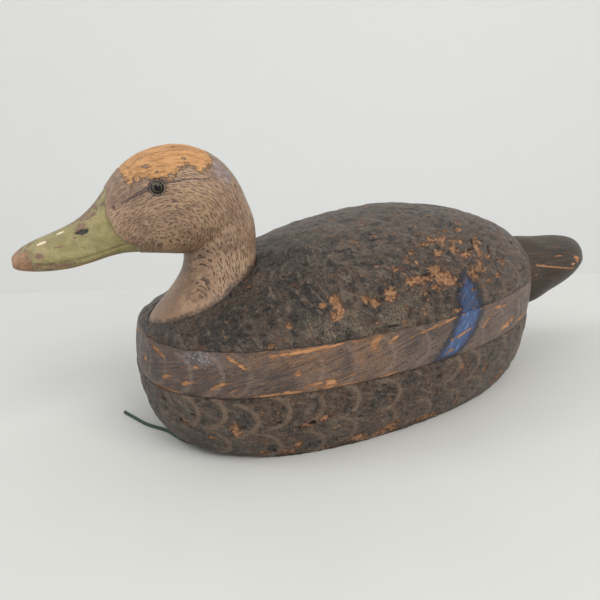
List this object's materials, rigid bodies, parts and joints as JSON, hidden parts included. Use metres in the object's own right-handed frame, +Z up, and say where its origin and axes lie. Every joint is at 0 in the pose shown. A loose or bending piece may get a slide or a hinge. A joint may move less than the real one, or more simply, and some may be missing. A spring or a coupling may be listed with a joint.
{
  "type": "floating duck decoy",
  "caption": "Carved working duck decoy: dark painted cork and pine body in three layers, inset tail, pine head with olive bill and glass eyes, and a short tied anchor line.",
  "frame": {"origin": "on the surface it stands on, under the middle of its length and width", "axes": "+X forward to the bill, +Y to the duck's left, +Z up"},
  "size_m": [0.433, 0.168, 0.1805],
  "materials": {
    "painted_cork": "rough worn paint on coarse cork, with bare chips",
    "painted_board": "worn matt paint on pine, bare streaks",
    "painted_head": "worn matt paint on pine, bare crown",
    "painted_tail": "worn satin paint on pine",
    "bare_wood": "bare",
    "eye_glass": "polished",
    "eye_iris": "painted",
    "eye_pupil": "gloss",
    "putty": "matt",
    "steel": "dull",
    "brass": "tarnished",
    "ballast": "dull cast lead",
    "line": "braided"
  },
  "bodies": {
    "decoy": {"cork_back": "painted_cork", "centre_board": "painted_board", "cork_bottom": "painted_cork", "head": "painted_head", "tail": "painted_tail", "left_eye_glass": "eye_glass", "left_eye_pupil": "eye_pupil", "left_eye_iris": "eye_iris", "left_eye_wire": "steel", "left_eye_putty": "putty", "right_eye_glass": "eye_glass", "right_eye_pupil": "eye_pupil", "right_eye_iris": "eye_iris", "right_eye_wire": "steel", "right_eye_putty": "putty", "neck_dowel": "bare_wood", "head_screw": "steel", "head_screw_washer": "steel", "back_dowels": "bare_wood", "bottom_screws": "brass", "bottom_washers": "brass", "tail_screws": "brass", "ballast_weight": "ballast", "ballast_screws": "brass", "screw_eye": "brass"},
    "line_tie": {"line_loop": "line", "line_knot": "line", "anchor_line": "line", "anchor_line_end": "line"}
  },
  "joints": [
    {"name": "line_loop_swing", "type": "hinge", "parent": "decoy", "child": "line_tie", "pos_m": [0.113, 0, 0.0064], "axis": [0, 1, 0], "range_deg": [0, 105]}
  ]
}
